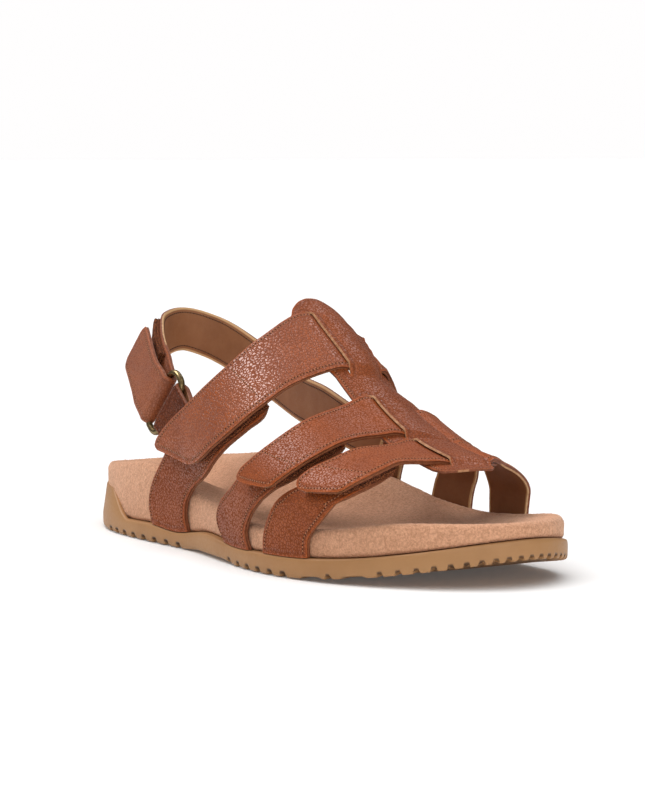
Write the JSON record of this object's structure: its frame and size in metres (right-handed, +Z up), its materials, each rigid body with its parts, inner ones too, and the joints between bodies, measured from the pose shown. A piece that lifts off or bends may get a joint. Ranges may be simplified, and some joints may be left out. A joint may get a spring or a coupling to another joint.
{
  "type": "strappy sandal",
  "caption": "Open flat right sandal: woven leather straps over a contoured suede footbed and gum rubber sole, hook-and-loop strap ends and a heel sling held by a brass ring.",
  "frame": {"origin": "under the middle of the shoe, on the ground plane", "axes": "+X to the toe, +Y to the inner (arch) side, +Z up"},
  "size_m": [0.247, 0.0987, 0.0914],
  "materials": {
    "gum_rubber": "matte moulded gum rubber",
    "suede": "napped suede",
    "grained_leather": "pebble grain with a soft sheen",
    "pile": "short looped pile",
    "antique_brass": "dulled antique brass"
  },
  "bodies": {
    "root": {"outsole": "gum_rubber", "footbed": "suede", "upper": "grained_leather", "strap_base_instep": "grained_leather", "strap_base_mid": "grained_leather", "strap_base_fore": "grained_leather", "fastener_instep": "pile", "fastener_mid": "pile", "fastener_fore": "pile", "heel_sling": "grained_leather", "fastener_sling": "pile", "ring": "antique_brass", "ring_keeper": "grained_leather"}
  },
  "joints": []
}
